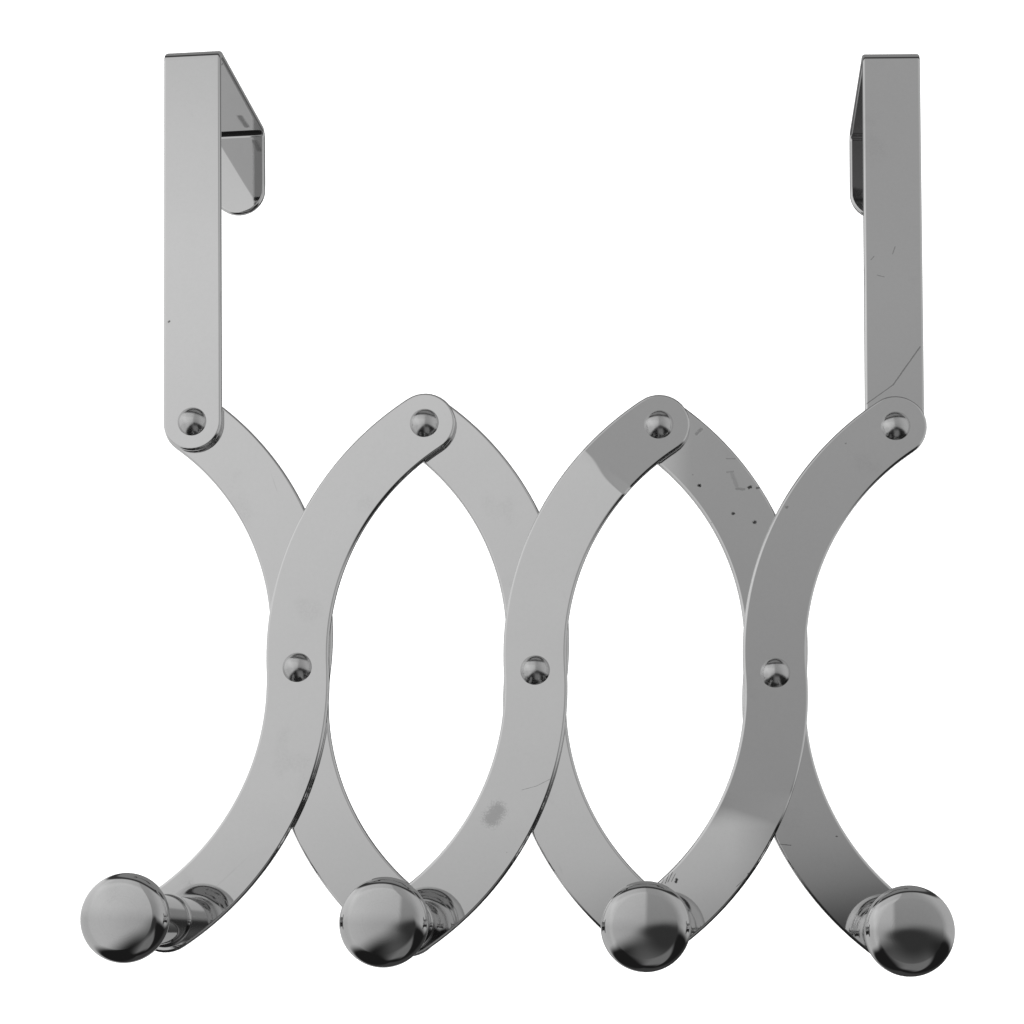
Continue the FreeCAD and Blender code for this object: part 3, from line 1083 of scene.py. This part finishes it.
def tent_grey(azimuth, height, settings):
    """How bright the surroundings are at an azimuth and a height, both in degrees.

    Azimuth 0 is the camera's side and grows to the right. The tent's lower edge hangs down to
    both sides of the front, and a soft dark figure stands in the middle of it.
    """
    left_edge = -40 + 27 * bell(azimuth, 4, 43)
    right_edge = -21 + 14 * bell(azimuth, 20, 62) + 9 * smooth_step(azimuth, 130, 40)
    edge = np.where(azimuth < 12, left_edge, right_edge)
    walls, table = tent_walls(azimuth, height, settings), table_grey(azimuth, height, settings)
    grey = blend(walls, table, smooth_step(edge - height, 0, 13))
    away = np.hypot((azimuth - 15) / 17, (height + 11) / np.where(height < -11, 16, 7.5))
    return blend(grey, settings.figure, smooth_step(1 - away, 0, 1.2))


def dark_card_mesh(settings):
    """An upright sheet beside the camera, with how much it covers kept in an attribute.

    The cover is an S curve of the distance from the middle, so its edge is soft.
    """
    across, up = np.meshgrid(np.linspace(-2.0, 2.0, 41), np.linspace(-2.0, 2.0, 41))
    (x, y, z), (width, height) = settings.card_middle, settings.card_size
    mesh = sheet_mesh("dark_card", np.stack([x + width * across, 0 * up + y, z + height * up], -1))
    keep_values(mesh, "cover", smooth_step(1 - np.hypot(across, up), 0, 1.1))
    return mesh


def tent_mesh(settings):
    """The light tent: a sphere round the object.

    place = middle + radius * (sin a * cos h, -cos a * cos h, sin h), for azimuth a and height h,
    with its brightness kept in an attribute.
    """
    azimuth, height = np.meshgrid(np.linspace(-180, 180, 271), np.linspace(-90, 90, 136))
    a, h = np.radians(azimuth), np.radians(height)
    way = np.stack([np.sin(a) * np.cos(h), -np.cos(a) * np.cos(h), np.sin(h)], -1)
    mesh = sheet_mesh("light_tent", np.array(settings.tent_middle) + settings.tent_radius * way)
    keep_values(mesh, "brightness", tent_grey(azimuth, height, settings))
    return mesh


def sweep_mesh(floor):
    """The floor and the wall behind as one sheet: flat, a quarter circle, and upright."""
    front, left, right, top, bend_start, bend = -1.2, -2.4, 2.6, 3.4, 0.9, 0.5
    turn = np.linspace(0.0, math.pi / 2, 17)
    y = np.concatenate([[front], bend_start + bend * np.sin(turn), [bend_start + bend]])
    z = floor + np.concatenate([[0.0], bend * (1 - np.cos(turn)), [top]])
    x, y = np.meshgrid(np.linspace(left, right, 11), y)
    mesh = sheet_mesh("sweep", np.stack([x, y, 0 * x + z[:, None]], -1))
    mesh.shade_smooth()
    return mesh


def seen_rays(tree):
    """A value that is 1 for what the camera sees, directly, in metal or through glass."""
    rays = tree.nodes.new("ShaderNodeLightPath").outputs
    seen = maths(tree, "ADD", rays["Is Camera Ray"], rays["Is Glossy Ray"])
    seen = maths(tree, "ADD", seen, rays["Is Transmission Ray"])
    return add_node(tree, "Clamp", {0: seen}).outputs[0]


def paper_material():
    """White paper that the camera sees as white wherever no shadow falls."""
    material, tree = new_material("paper")
    plug_all(tree, {
        "Base Color": (0.9, 0.9, 0.9, 1.0),
        "Roughness": 1.0,
        "Specular IOR Level": 0.0,
        "Emission Color": (1.0, 1.0, 1.0, 1.0),
        "Emission Strength": maths(tree, "MULTIPLY", seen_rays(tree), 0.6),
    }, tree.nodes["Principled BSDF"].inputs)
    return material


def tent_cloth():
    """Cloth that glows as bright as the tent's attribute says."""
    material, tree = new_material("tent_cloth", bare=True)
    brightness = add_node(tree, "Attribute", {}, attribute_name="brightness").outputs["Fac"]
    glow = add_node(tree, "Emission", {"Strength": brightness}).outputs[0]
    add_node(tree, "OutputMaterial", {"Surface": glow})
    return material


def card_cloth(settings):
    """Dark cloth that lets the tent through where the card's attribute covers nothing."""
    material, tree = new_material("card_cloth", bare=True)
    cover = add_node(tree, "Attribute", {}, attribute_name="cover").outputs["Fac"]
    clear = add_node(tree, "BsdfTransparent", {}).outputs[0]
    dark = add_node(tree, "Emission", {"Strength": settings.figure}).outputs[0]
    mixed = add_node(tree, "MixShader", {0: cover, 1: clear, 2: dark}).outputs[0]
    add_node(tree, "OutputMaterial", {"Surface": mixed})
    return material


def white_world():
    """A world that the camera sees as white and that lights the scene a little less."""
    world = bpy.data.worlds.new("studio")
    world.use_nodes = True
    tree = world.node_tree
    level = maths(tree, "MULTIPLY_ADD", seen_rays(tree), 0.2, 0.8)
    plug_all(tree, {"Strength": level, "Color": (1.0, 1.0, 1.0, 1.0)}, tree.nodes["Background"].inputs)
    return world


def soft_lamp(middle):
    """A broad lamp above the front left that metal doesn't mirror, because the tent stands there."""
    light = bpy.data.lights.new("soft_lamp", "AREA")
    light.energy = 6.0
    light.size = 0.6
    lamp = bpy.data.objects.new("soft_lamp", light)
    lamp.location = Vector(middle) + Vector((-0.35, -0.5, 0.45))
    lamp.rotation_euler = (Vector(middle) - lamp.location).to_track_quat("-Z", "Y").to_euler()
    lamp.visible_glossy = False
    lamp.visible_camera = False
    return lamp


def fitted_camera(settings):
    """The camera that took the photograph, whose picture is the upper left part of its view."""
    camera = bpy.data.cameras.new("camera")
    camera.lens = settings.lens
    camera.sensor_width = 36.0
    camera.shift_x, camera.shift_y = -settings.lens_shift, settings.lens_shift
    camera.clip_end = 100.0
    holder = bpy.data.objects.new("camera", camera)
    holder.location = settings.camera_place
    holder.rotation_euler = settings.camera_turn
    return holder


class HOOK_OT_stage(bpy.types.Operator):
    """Makes the floor, the light tent, the world, the lamp and the camera"""

    bl_idname = "hook.stage"
    bl_label = "Stage"

    def execute(self, context):
        settings = context.scene.hook_rail_stage
        scene = context.scene
        scene.view_settings.view_transform = "Standard"
        scene.world = white_world()
        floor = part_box("peg_1")[0].z - settings.floor_drop
        sweep = bpy.data.objects.new("sweep", sweep_mesh(floor))
        sweep.data.materials.append(paper_material())
        tent = bpy.data.objects.new("light_tent", tent_mesh(settings))
        tent.data.materials.append(tent_cloth())
        card = bpy.data.objects.new("dark_card", dark_card_mesh(settings))
        card.data.materials.append(card_cloth(settings))
        for glow in (tent, card):
            glow.visible_camera = glow.visible_diffuse = glow.visible_shadow = False
        camera = fitted_camera(settings)
        for piece in (camera, sweep, tent, card, soft_lamp(settings.tent_middle)):
            scene.collection.objects.link(piece)
        scene.camera = camera
        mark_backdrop(sweep, tent, card)
        return {"FINISHED"}


class HOOK_PT_panel(bpy.types.Panel):
    """Lists the pieces of the hook rail"""

    bl_label = "Hook rail"
    bl_idname = "HOOK_PT_panel"
    bl_space_type = "VIEW_3D"
    bl_region_type = "UI"
    bl_category = "Hook rail"

    def draw(self, context):
        for operator in OPERATORS:
            self.layout.operator(operator.bl_idname)


OPERATORS = (
    HOOK_OT_hangers, HOOK_OT_arms, HOOK_OT_rivets, HOOK_OT_pegs, HOOK_OT_screws, HOOK_OT_stage,
)
SETTINGS = {
    "hook_rail_strip": StripSizes,
    "hook_rail_rivet": RivetSizes,
    "hook_rail_peg": PegSizes,
    "hook_rail_screw": ScrewSizes,
    "hook_rail_finish": FinishSettings,
    "hook_rail_stage": StageSettings,
}


def register():
    for group in (*SETTINGS.values(), *OPERATORS, HOOK_PT_panel):
        bpy.utils.register_class(group)
    for name, group in SETTINGS.items():
        setattr(bpy.types.Scene, name, bpy.props.PointerProperty(type=group))


def unregister():
    for name in SETTINGS:
        delattr(bpy.types.Scene, name)
    for group in (HOOK_PT_panel, *OPERATORS, *SETTINGS.values()):
        bpy.utils.unregister_class(group)


def main():
    """Makes every piece."""
    register()
    bpy.ops.hook.hangers()
    bpy.ops.hook.arms()
    bpy.ops.hook.rivets()
    bpy.ops.hook.pegs()
    bpy.ops.hook.screws()
    bpy.ops.hook.stage()
    boxes = {"cad": CAD_BOX, "visual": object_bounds()}
    boxes = {name: [list(corner) for corner in box] for name, box in boxes.items()}


if __name__ == "__main__":
    main()
